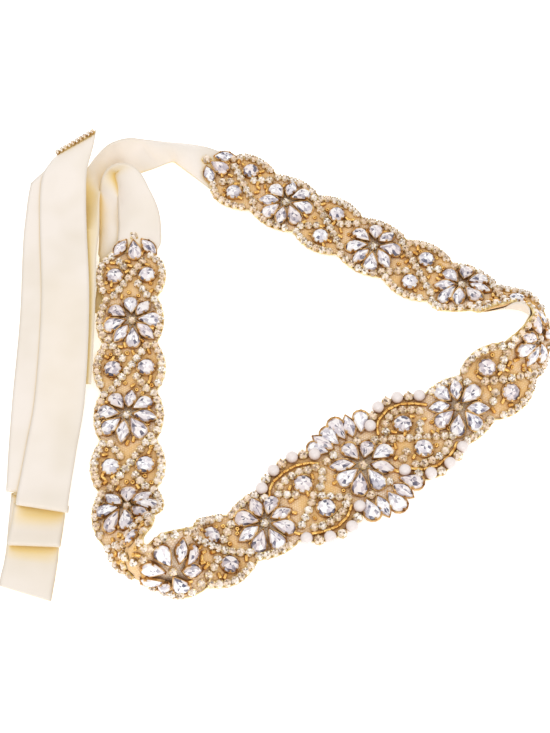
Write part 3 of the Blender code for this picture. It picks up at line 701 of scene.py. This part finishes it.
def sew_on(name, pattern, seats, scale, material, slot, rng=None, table_tones=(0.0, 1.0),
           crown_tones=(0.0, 1.0)):
    """One mesh with a copy of the pattern at each seat: (matrix, (length, width, height)).

    With rng, each facet gets a tone of its own, which the crystal material turns into a painted reflection:
    the table's triangles from table_tones, the others from crown_tones. Each stone then gets a cast of its own.
    """
    mesh = pattern.data
    # Operators number points and faces differently each run, so both are put in order of place.
    order = sorted(
        range(len(mesh.vertices)), key=lambda i: [round(c, 4) for c in reversed(mesh.vertices[i].co)])
    rank = {old: new for new, old in enumerate(order)}
    corners = [mesh.vertices[i].co.copy() for i in order]
    faces = sorted(lowest_first([rank[i] for i in face.vertices]) for face in mesh.polygons)
    tones = [table_tones if len(face) == 3 else crown_tones for face in faces]
    verts, polys, facets, casts = [], [], [], []
    for seat, size in seats:
        base = len(verts)
        full = seat @ Matrix.Diagonal((*(a * b for a, b in zip(size, scale)), 1.0))
        verts.extend((full @ corner - PLAN_MIDDLE) * MM for corner in corners)
        polys.extend(tuple(base + i for i in face) for face in faces)
        if rng:
            facets.extend(rng.uniform(*span) for span in tones)
            casts.extend([rng.random()] * len(faces))
    made = bpy.data.meshes.new(name)
    made.from_pydata(verts, [], polys)
    if rng:
        made.attributes.new("facet", "FLOAT", "FACE").data.foreach_set("value", facets)
        made.attributes.new("cast", "FLOAT", "FACE").data.foreach_set("value", casts)
    return as_piece(name, made, material, slot)


# --- sheets ---
def painted_shade_share(tint, place, share):
    """How much painted yellow shade a place mm along a sheet gets, least at its two edges."""
    near = min((place - tint.start) / tint.rise, (tint.end + tint.fall - place) / tint.fall)
    near = max(0.0, min(1.0, near))
    return tint.strength * near * near * (3 - 2 * near) * (1 - 0.7 * abs(share)**3)


def sheet_from(name, grid, uvs, thickness, material, slot, tint=None):
    """A thin sheet over a grid of points, thickened on its front."""
    bm = bmesh.new()
    layer = bm.loops.layers.uv.new("cloth")
    # Each point's share of painted yellow shade, which the satin material reads.
    yellow = bm.verts.layers.float.new("yellow")
    verts = [[bm.verts.new((p - PLAN_MIDDLE) * MM) for p in row] for row in grid]
    half = max(abs(u) for u, _ in uvs[0])
    for row, places in zip(verts, uvs):
        for vert, (u, v) in zip(row, places):
            vert[yellow] = painted_shade_share(tint, v / MM, u / half) if tint else 0.0
    for i in range(len(grid) - 1):
        for j in range(len(grid[0]) - 1):
            corner = ((i, j), (i + 1, j), (i + 1, j + 1), (i, j + 1))
            face = bm.faces.new([verts[a][b] for a, b in corner])
            for loop, (a, b) in zip(face.loops, corner):
                loop[layer].uv = uvs[a][b]
            face.smooth = True
    mesh = bpy.data.meshes.new(name)
    bm.to_mesh(mesh)
    bm.free()
    piece = as_piece(name, mesh, material, slot)
    pick(piece)
    wall = piece.modifiers.new("wall", "SOLIDIFY")
    wall.thickness = thickness * MM
    wall.offset = 1.0
    bpy.ops.object.modifier_apply(modifier=wall.name)
    return piece


def spaced(first, last, step):
    count = max(1, math.ceil((last - first) / step))
    return [first + (last - first) * i / count for i in range(count + 1)]


def shares_across(columns):
    """Places across a sheet, from -1 at its right edge to 1 at its left."""
    return [2 * j / (columns - 1) - 1 for j in range(columns)]


def ribbon_from(name, grid, shares, places, tint=None):
    """A satin sheet: rows of points at shares across, and each row's place along in mm."""
    uvs = [[(RIBBON_WIDTH / 2 * share * MM, at * MM) for share in shares] for at in places]
    return sheet_from(name, grid, uvs, SATIN, satin, "ivory_satin", tint)


def satin_along(name, course, first, last, slip):
    """Ribbon laid on a course. slip(along) moves it sideways under the applique, mm."""
    shares, places, grid = shares_across(13), spaced(first, last, SATIN_STEP), []
    for along in places:
        # A ribbon off the reel is never flat: its middle crowns by a fraction of a mm.
        rise = 0.12 * math.sin(along / 5.3) + 0.10 * math.sin(along / 2.9 + 1.0)
        grid.append([
            course.point(
                along, slip(along) + RIBBON_WIDTH / 2 * share, SATIN_LIFT + rise * (1 - share**2) * 0.5)
            for share in shares])
    return ribbon_from(name, grid, shares, places)


def edge_points(rows, along):
    return [Vector([smooth(rows, side + axis, along) for axis in "xyz"]) for side in "lr"]


def satin_turn(name, rows, course, hollow, tint):
    """Ribbon through a free turn, edge by edge, then on along its course.

    Where its edges come nearer than its width it bellies up, and after hollow mm down.
    """
    grid, lengths, done = [], [], 0.0
    stops = spaced(0.0, rows[-1].along, SATIN_STEP)
    places = [edge_points(rows, along) for along in stops]
    places += [
        [course.point(at, side * RIBBON_WIDTH / 2, 0.0) for side in (1, -1)]
        for at in spaced(0.0, course.last, SATIN_STEP)[1:]]
    shares = shares_across(15)
    for i, (left_edge, right_edge) in enumerate(places):
        before, after = places[max(0, i - 1)], places[min(len(places) - 1, i + 1)]
        ahead = (after[0] + after[1] - before[0] - before[1]).normalized()
        across = left_edge - right_edge
        up = ahead.cross(across).normalized()
        # A shallow arc's length squared is its chord's and 16/3 of its height's.
        spare = max(0.0, RIBBON_WIDTH**2 - across.length**2)
        turned = min(1.0, max(0.0, (stops[min(i, len(stops) - 1)] - hollow) / HOLLOW_GROWS))
        belly = min(MOST_BELLY, math.sqrt(3 / 16 * spare)) * (0.8 - 1.3 * turned)
        middle = (left_edge + right_edge) / 2
        if i:  # Satin hardly stretches, so the edge with the longer way sets the length.
            done += max((places[i][side] - places[i - 1][side]).length for side in (0, 1))
        grid.append([
            middle + across * (share / 2) + up * (SATIN_LIFT + belly * (1 - share**2)) for share in shares])
        lengths.append(done)
    return ribbon_from(name, grid, shares, lengths, tint), done


def run_frames(rows, nose_drop, back_length):
    """Middle and cross direction along a folded run.

    At its south end a round nose drops by nose_drop, and the ribbon goes back_length under.
    """
    frames = []
    north, south = rows[0].y, rows[-1].y
    flipped = [row._replace(y=-row.y) for row in rows]
    for y in spaced(-north, -south, 3.0):
        x, z, tilt, skew = (smooth(flipped, field, y, key="y") for field in ("x", "z", "tilt", "skew"))
        tilt = math.radians(tilt)
        frames.append((Vector((x, -y, z)), Vector((math.cos(tilt), skew / SOLID_WIDTH, math.sin(tilt)))))
    end, across = frames[-1]
    if nose_drop > 0.0:
        radius = nose_drop / 2
        for turn in range(15, 181, 15):
            angle = math.radians(turn)
            nose = Vector((0, -radius * math.sin(angle), -radius * (1 - math.cos(angle))))
            frames.append((end + nose, across))
    if back_length > 0.0:
        for share in (0.25, 0.5, 0.75, 1.0):
            y = end.y + back_length * share
            x = smooth(flipped, "x", -y, key="y")
            frames.append((Vector((x, y, end.z - nose_drop)), across))
    return frames


def satin_run(name, rows, nose_drop, back_length, wave, tint=None, lift=0.3):
    """A folded run, which lies nearly flat: wave is how far it rises in waves, mm, and their phase."""
    size, phase = wave
    # Rows go from north to south, so they run from east to west for the front to be the outer side.
    shares = shares_across(13)[::-1]
    frames = run_frames(rows, nose_drop, back_length)
    grid, lengths, length = [], [], 0.0
    for i, (middle, across) in enumerate(frames):
        before = frames[max(i - 1, 0)][0]
        after = frames[min(i + 1, len(frames) - 1)][0]
        out = across.cross(before - after).normalized()
        length += (middle - before).length
        fade = max(0.0, min(1.0, (middle.y - rows[-1].y) / NOSE_CALM))
        broad, narrow = math.sin(middle.y / 17.0 + phase), math.sin(middle.y / 9.0 + phase * 2)
        rises = [size * (broad * share + 0.6 * narrow * (1 - share**2)) for share in shares]
        grid.append([
            middle + across * (RIBBON_WIDTH / 2) * share + out * (lift + fade * rise)
            for share, rise in zip(shares, rises)])
        lengths.append(length)
    return ribbon_from(name, grid, shares, lengths, tint), length


def net_sheet(material):
    """The net backing, cut round the scallops, in one length under all the stones."""
    grid, uvs = [], []
    for along in spaced(-NET_END, NET_END, 1.2):
        places = [share * (half_width(along, share) + 0.3) for share in shares_across(17)]
        grid.append([main.point(along, across, NET_LIFT) for across in places])
        uvs.append([(across * MM, along * MM) for across in places])
    return sheet_from("net_backing", grid, uvs, NET, material, "beaded_applique")


# --- where the stones go ---
def along_line(points, pitch):
    """Evenly spaced places on a broken line, with the line's direction at each."""
    lengths = [0.0]
    for a, b in zip(points, points[1:]):
        lengths.append(lengths[-1] + math.dist(a, b))
    count = max(1, round(lengths[-1] / pitch))
    for k in range(count + 1):
        at = lengths[-1] * k / count
        i = min(max(j for j in range(len(points)) if lengths[j] <= at + 1e-9), len(points) - 2)
        t = (at - lengths[i]) / (lengths[i + 1] - lengths[i])
        a, b = points[i], points[i + 1]
        yield (a[0] + (b[0] - a[0]) * t, a[1] + (b[1] - a[1]) * t,
               math.degrees(math.atan2(b[1] - a[1], b[0] - a[0])))


def edge_line(side, first, last, inset):
    return [(along, side * (half_width(along, side) - inset)) for along in spaced(first, last, 0.75)]


class Beads:
    """Seats for each kind of bead and stone, and the ground that each takes up."""

    def __init__(self, seed):
        self.rng = random.Random(seed)
        self.seats = {kind: [] for kind in (
            "border", "strand", "round", "navette", "drop", "pearl", "seed", "bugle")}
        self.ground = []

    def free(self, along, across, radius, share):
        return all(math.dist((along, across), (u, v)) > share * (radius + r) for u, v, r in self.ground)

    def chain(self, kind, along, across, turn, lift=0.0, size=CHAIN_CUP):
        """A chain stone, unless one is there already."""
        if not self.free(along, across, size / 2, 0.80):
            return
        self.ground.append((along, across, size / 2))
        seat = main.seat(along, across, BEAD_LIFT + lift, turn + self.rng.uniform(-4, 4))
        half = size / 2 * self.rng.uniform(0.96, 1.03)
        self.seats[kind].append((seat, (half, half, size / CHAIN_CUP)))

    def round_stone(self, along, across, turn, size=ROUND_STONE):
        self.ground.append((along, across, size / 2 + 0.3))
        seat = main.seat(along, across, BEAD_LIFT + 0.2, turn)
        self.seats["round"].append((seat, (size / 2, size / 2, 1.0)))

    def petal(self, row, along=0.0, across=0.0, flip=1, turn=0.0, lift=1.1, tip=12):
        """A long stone. A petal leans up towards the middle of its flower by tip degrees."""
        angle = math.radians(turn)
        u = row.along * math.cos(angle) - row.across * flip * math.sin(angle)
        v = row.along * math.sin(angle) + row.across * flip * math.cos(angle)
        facing = row.turn * flip + turn + self.rng.uniform(-4, 4)
        seat = main.seat(along + u, across + v, BEAD_LIFT + lift, facing)
        lean = Matrix.Rotation(math.radians(tip + self.rng.uniform(-4, 4)), 4, "Y")
        roll = Matrix.Rotation(math.radians(self.rng.uniform(-7, 7)), 4, "X")
        wide = row.size * LONG_STONE_WIDTHS[row.kind]
        self.seats[row.kind].append((seat @ lean @ roll, (row.size * 0.51, wide * 0.51, 1.0)))
        ahead = math.radians(facing)
        for share in (-0.28, 0.0, 0.28):
            reach = row.size * share
            self.ground.append((
                along + u + reach * math.cos(ahead), across + v + reach * math.sin(ahead), wide * 0.42))

    def seed(self, along, across):
        """A gold bead: a short one on its side, or now and then a round one on its back."""
        self.ground.append((along, across, SEED / 2))
        turn = self.rng.uniform(0, 180)
        if self.rng.random() < 0.65:
            self.bugle(along, across, turn, self.rng.uniform(2.6, 3.2), 1.9)
            return
        seat = main.seat(along, across, BEAD_LIFT + 0.7, turn)
        tip = Matrix.Rotation(math.radians(self.rng.uniform(-30, 30)), 4, "X")
        half = SEED / 2 * self.rng.uniform(0.85, 1.1)
        self.seats["seed"].append((seat @ tip, (half, half, half)))

    def bugle(self, along, across, turn, length, wide):
        seat = main.seat(along, across, BEAD_LIFT + 0.9, turn)
        self.seats["bugle"].append((seat, (length, wide, wide)))


def place_medallion(beads):
    for row in MEDALLION_FLOWER:
        beads.petal(row)
    beads.chain("strand", 0.0, 0.0, 0, 1.5, 4.4)
    for row in FANS:
        beads.petal(row, tip=-6, lift=0.7)
    for along, across, turn in MEDALLION_ROUNDS:
        beads.round_stone(along, across, turn, ROUND_STONE + 0.4)
    for line in PEARL_ROWS:
        for along, across in line:
            beads.ground.append((along, across, PEARL / 2))
            seat = main.seat(along, across, BEAD_LIFT + PEARL / 2 - 1.0)
            beads.seats["pearl"].append((seat, (PEARL / 2,) * 3))
    for along, across in PEARL_STONES:
        beads.chain("border", along, across, 20, 0.4, 4.8)
    for lines, pitch, lift in ((LOOP_CHAINS, LOOP_PITCH, 0.0), (FAN_ROOTS, ROOT_PITCH, 0.3)):
        for line in lines:
            for along, across, turn in along_line(line, pitch):
                beads.chain("strand", along, across, turn, lift)
    for line in BUGLE_LINES:
        for (a, b), (c, d) in zip(line, line[1:]):
            length = math.dist((a, b), (c, d))
            count = max(1, round(length / 4.4))
            turn = math.degrees(math.atan2(d - b, c - a))
            for i in range(count):
                t = (i + 0.5) / count
                beads.bugle(a + (c - a) * t, b + (d - b) * t, turn, length / count - 0.15, 1.7)
                beads.ground.append((a + (c - a) * t, b + (d - b) * t, 1.0))
    for along, across in MEDALLION_SEEDS:
        if beads.free(along, across, SEED / 2, 0.7):
            beads.seed(along, across)


def place_beads():
    """Every bead and stone on the net, the large ones first."""
    beads = Beads(7)
    rng = beads.rng
    # Border chain, one scallop at a time, outside the medallion.
    for side in (-1, 1):
        for sign in (-1, 1):
            for k in range(2, 12):
                low, high = sorted((sign * (k - 0.5) * MOTIF_PITCH, sign * (k + 0.5) * MOTIF_PITCH))
                low, high = max(low + NOTCH_GAP, -CHAIN_END), min(high - NOTCH_GAP, CHAIN_END)
                line = edge_line(side, low, high, CHAIN_INSET)
                for along, across, turn in along_line(line, CHAIN_PITCH):
                    if MEDALLION_END + 2.5 < abs(along) < CHAIN_END:
                        beads.chain("border", along, across, turn)
    place_medallion(beads)
    for number, flower in enumerate(FLOWERS):
        for row in FLOWER:
            beads.petal(row, flower.along, flower.across, 1 if number % 2 else -1, flower.turn)
        beads.chain("strand", flower.along, flower.across, 0, 1.3, 4.2)
    for end in (-1, 1):
        off = -1.5 * end        # the caps sit to one side
        for row in CAP_STONES:
            outward = row._replace(along=0.0, across=0.0, turn=row.turn if end > 0 else 180 - row.turn)
            beads.petal(outward, end * row.along, row.across + off, tip=4, lift=0.8)
        beads.chain("strand", end * CAP_TIP, off, 0, 0.8, 5.2)

    # Crossings: two chains in an X, and two large round stones beside it.
    crossings = [k * MOTIF_PITCH for k in range(-11, 12, 2) if abs(k) > 1]
    for middle in crossings:
        for side in (-1, 1):
            if side > 0 or middle != TUCKED_SCALLOP:
                beads.round_stone(middle + rng.uniform(-0.4, 0.4), side * STONE_OFFSET, rng.uniform(0, 45))
        for side in (-1, 1):
            strand = [
                (middle + along, side * CROSSING_SLOPE * along)
                for along in spaced(-CROSSING_REACH, CROSSING_REACH, 0.5)]
            for along, across, turn in along_line(strand, CROSSING_PITCH):
                if abs(across) < half_width(along, across) - 1.6:
                    beads.chain("strand", along, across, turn, 0.2)
    # Gold seed beads fill what is left, thickest at the crossings.
    for middle in crossings:
        left = SEEDS_AT_CROSSING
        for _ in range(420):
            along = middle + rng.uniform(-15, 15)
            across = rng.uniform(-13, 13)
            inside = abs(across) < half_width(along, across) - 3.0
            if left and inside and beads.free(along, across, SEED / 2, 0.84):
                beads.seed(along, across)
                left -= 1
    for flower in FLOWERS:
        for _ in range(70):
            angle = rng.uniform(0, 2 * math.pi)
            along = flower.along + rng.uniform(7.0, 13.0) * math.cos(angle)
            across = flower.across + rng.uniform(9.0, 13.0) * math.sin(angle)
            if abs(across) < half_width(along, across) - 2.8 and beads.free(along, across, SEED / 2, 0.9):
                beads.seed(along, across)
    return beads.seats


def edge_cord(material):
    """The gold thread that whips the net's cut edge, outside the border chain."""
    bm = bmesh.new()
    sides = 6
    radius = 0.45
    for side in (-1, 1):
        rings = []
        for along in spaced(-APPLIQUE_END + 1.0, APPLIQUE_END - 1.0, 1.0):
            seat = main.seat(along, side * (half_width(along, side) + 0.75), BEAD_LIFT + 0.1)
            ring = []
            for k in range(sides):
                angle = 2 * math.pi * k / sides
                local = Vector((0.0, radius * math.cos(angle), radius * math.sin(angle)))
                ring.append(bm.verts.new((seat @ local - PLAN_MIDDLE) * MM))
            rings.append(ring)
        for near, far in zip(rings, rings[1:]):
            for k in range(sides):
                m = (k + 1) % sides
                bm.faces.new((near[k], near[m], far[m], far[k])).smooth = True
        bm.faces.new(rings[0])
        bm.faces.new(rings[-1])
    bmesh.ops.recalc_face_normals(bm, faces=bm.faces)
    mesh = bpy.data.meshes.new("edge_cord")
    bm.to_mesh(mesh)
    bm.free()
    return as_piece("edge_cord", mesh, material, "beaded_applique")


# --- build ---
main = Course(APPLIQUE_COURSE, MEDALLION_PLACE)
back_tail = Course(BACK_TAIL_COURSE, BACK_TAIL_PLACE)
left_tail = Course(LEFT_TAIL_COURSE, LEFT_TAIL_PLACE)

satin = satin_material("ivory_satin_ribbon", "#f0e6dc", "#e7dccd", "#efd38c")
# The crystals' ramps are painted reflections, from dark facets to white ones.
clear = crystal_material("foiled_crystal", (
    (0.0, "#55546a"), (0.08, "#7b788b"), (0.14, "#b2adb8"), (0.32, "#d3ced6"), (0.50, "#efe9ec"),
    (0.70, "#ffffff"),
), "#f3e8e4")
champagne = crystal_material("foiled_crystal_warm", (
    (0.0, "#6e5d4c"), (0.10, "#a38f7a"), (0.24, "#d2c1ac"), (0.42, "#eedfcf"), (0.66, "#fffaf4"),
), "#f5dfc6")
gold = gold_material("gold_tone_cup", "#dfb679", "#925f28", 0.3)
pale_gold = gold_material("champagne_gold_chain", "#eedba6", "#b98f45", 0.28)
bead_gold = gold_material("gold_glass_bead", "#f8cd7c", "#d59a4a", 0.25)


def ribbon_slip(along):
    """The ribbon shows beyond the applique, by up to 5.5 mm, on the inside of the back bend."""
    near = max(0.0, 1.0 - abs(along - 118.0) / 20.0)
    return 5.5 * (3 * near**2 - 2 * near**3)


under = satin_along("satin_under_applique", main, -RIBBON_UNDER_END, RIBBON_UNDER_END, ribbon_slip)
back, back_length = satin_turn("satin_back_tail", BACK_TURN, back_tail, 29.0, BACK_TINT)
left, left_length = satin_turn("satin_left_tail", LEFT_TURN, left_tail, math.inf, LEFT_TINT)
# Each folded run drops at its nose and goes back under, both in mm, and has slight waves.
top, top_length = satin_run("satin_top_layer", TOP_LAYER, 2.8, 2.5, (0.15, 0.4), TOP_TINT)
rear, rear_length = satin_run("satin_back_layer", BACK_LAYER, 2.3, 0.0, (0.12, 2.0))
upper, upper_length = satin_run("satin_upper_fold", UPPER_FOLD, 2.6, 16.0, (0.08, 1.0), UPPER_TINT)
lower, lower_length = satin_run("satin_lower_fold", LOWER_FOLD, 0.5, 40.0, (0.08, 3.0), LOWER_TINT)
runs = []
for number, (level, east, south) in enumerate(CORE_RUNS, start=1):
    rows = [Section(y - south, x + east, level, 0, 0) for y, x in CORE_MIDDLES]
    runs.append(satin_run(f"satin_hidden_run_{number}", rows, 0.0, 0.0, (0.1, number), lift=0.0))

backing = net_sheet(net_material())
patterns = make_patterns()
seats = place_beads()
draws = random.Random(11)
for kind in ("border", "strand"):
    sew_on(
        kind + "_stones", patterns["chain_stone"], seats[kind], (0.98, 0.98, 2.3), champagne, "crystal", draws,
        (0.0, 0.75), (0.10, 1.15))
    sew_on(
        kind + "_cups", patterns["chain_cup"], seats[kind], (1.0, 1.0, 2.2), pale_gold, "beaded_applique")
for kind, height in (("round", 3.2), ("navette", 3.0), ("drop", 3.2)):
    stones = sew_on(
        kind + "_stones", patterns[kind + "_stone"], seats[kind], (0.94, 0.94, height), clear, "crystal", draws)
    sew_on(
        kind + "_cups", patterns[kind + "_cup"], seats[kind], (1.06, 1.09, height), gold, "beaded_applique")
for name, kind, material, slot in (
        ("pearls", "pearl", pearl_material(), "crystal"),
        ("seed_beads", "seed", bead_gold, "beaded_applique"),
        ("bugle_beads", "bugle", bead_gold, "beaded_applique")):
    beads = sew_on(name, patterns[kind], seats[kind], (1.0, 1.0, 1.0), material, slot)
    beads.data.shade_smooth()
edge_cord(pale_gold)

# The small stones on the tail's cut end.
(end_place, end_across), (next_place, _) = run_frames(TOP_LAYER, 0.0, 0.0)[:2]
end_out = end_across.cross(end_place - next_place).normalized()
end_ahead = (end_place - next_place).normalized()
trim_seats = []
for i in range(TRIM_STONES):
    share = (i + 0.5) / TRIM_STONES - 0.5
    place = end_place + end_across * RIBBON_WIDTH * share + end_out * 0.7 - end_ahead * 1.3
    trim_seats.append((seat_at(place, end_across.normalized(), end_out), (1.15, 1.15, 1.0)))
trim_stones = sew_on(
    "end_trim_stones", patterns["chain_stone"], trim_seats, (1.0, 1.0, 2.0), champagne, "crystal", draws,
    (0.0, 0.75), (0.25, 1.1))
trim_cups = sew_on(
    "end_trim_cups", patterns["chain_cup"], trim_seats, (1.1, 1.1, 2.1), pale_gold, "beaded_applique")
for pattern in patterns.values():
    bpy.data.objects.remove(pattern, do_unlink=True)

# --- the CAD parts that these pieces stand for, hidden ---
for piece, nodes in (
        (runs[0][0], ["tail_core"]),
        (under, ["ribbon_left_leg", "ribbon_left_bend", "ribbon_front_leg", "ribbon_right_bend",
                 "ribbon_back_leg"]),
        (back, ["ribbon_back_tail", "ribbon_arch", "ribbon_band"]),
        (left, ["ribbon_left_loop", "ribbon_return"]),
        (top, ["tail_top_layer"]), (rear, ["tail_back_layer"]),
        (upper, ["tail_fold_upper"]), (lower, ["tail_fold_lower"]),
        (backing, ["applique_left_leg", "applique_left_bend", "applique_front_left", "applique_centre",
                   "applique_front_right", "applique_right_bend", "applique_back_leg"]),
        (stones, ["flower_centre"] + [
            f"flower_{side}_{k}" for side in ("left", "right") for k in range(1, 6)]),
        (trim_stones, ["end_trim"])):
    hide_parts(*nodes)

for piece, length, held, under_it, sewn_to_it in (
        *((piece, length, "folded", "tail_core", []) for piece, length in runs),
        (under, 2 * RIBBON_UNDER_END, "laid", "ribbon_front_leg", []),
        (back, back_length, "laid", "tail_core", []),
        (left, left_length, "laid", "ribbon_return", []),
        (top, top_length, "folded", rear.name, [trim_stones, trim_cups]),
        (rear, rear_length, "folded", runs[-1][0].name, []),
        (upper, upper_length, "folded", lower.name, []),
        (lower, lower_length, "folded", "tail_fold_lower", [])):
    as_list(sewn_to_it)
net_area = sum(2 * (half_width(s) - 0.5) for s in spaced(-NET_END, NET_END, 1.0))

# --- floor, light and camera ---
deselect_all()
bpy.ops.mesh.primitive_plane_add(size=6.0, location=(0, 0, -0.0002))
floor = bpy.context.object
floor.name = "floor"
# White acrylic lit from beneath, so that shadows on it stay faint.
acrylic, _, acrylic_shader = new_material("white_acrylic", Roughness=0.9, Emission_Strength=0.5)
acrylic_shader.inputs["Base Color"].default_value = linear("#fafafa")
acrylic_shader.inputs["Emission Color"].default_value = linear("#ffffff")
floor.data.materials.append(acrylic)

for name, place, size, power in (
        ("key_softbox", (-1.6, 1.2, 2.8), (2.8, 2.8), 18),
        ("fill_softbox", (1.8, -0.8, 2.2), (1.6, 1.2), 8),
        ("front_softbox", (0.0, -2.2, 1.8), (1.8, 1.0), 14)):
    lamp = bpy.data.lights.new(name, "AREA")
    lamp.shape = "RECTANGLE"
    lamp.size, lamp.size_y = size
    lamp.energy = power
    holder = bpy.data.objects.new(name, lamp)
    holder.location = place
    holder.rotation_euler = Vector(place).to_track_quat("Z", "Y").to_euler()
    bpy.context.scene.collection.objects.link(holder)

world = bpy.data.worlds.new("studio")
world.use_nodes = True
world.node_tree.nodes["Background"].inputs["Color"].default_value = linear("#ffffff")
world.node_tree.nodes["Background"].inputs["Strength"].default_value = 0.82
bpy.context.scene.world = world
bpy.context.scene.view_settings.view_transform = "Standard"

TILT = math.radians(60.27)              # camera's height above the table's plane
DISTANCE = 719.2                        # mm from the point that it looks at
camera_data = bpy.data.cameras.new("camera")
camera_data.sensor_fit = "VERTICAL"
camera_data.sensor_height = 36.0
camera_data.lens = 70.65
camera = bpy.data.objects.new("camera", camera_data)
look_at = -PLAN_MIDDLE * MM
camera.location = look_at + Vector((0.0, -DISTANCE * math.cos(TILT), DISTANCE * math.sin(TILT))) * MM
camera.rotation_euler = (math.pi / 2 - TILT, 0.0, 0.0)
bpy.context.scene.collection.objects.link(camera)
bpy.context.scene.camera = camera
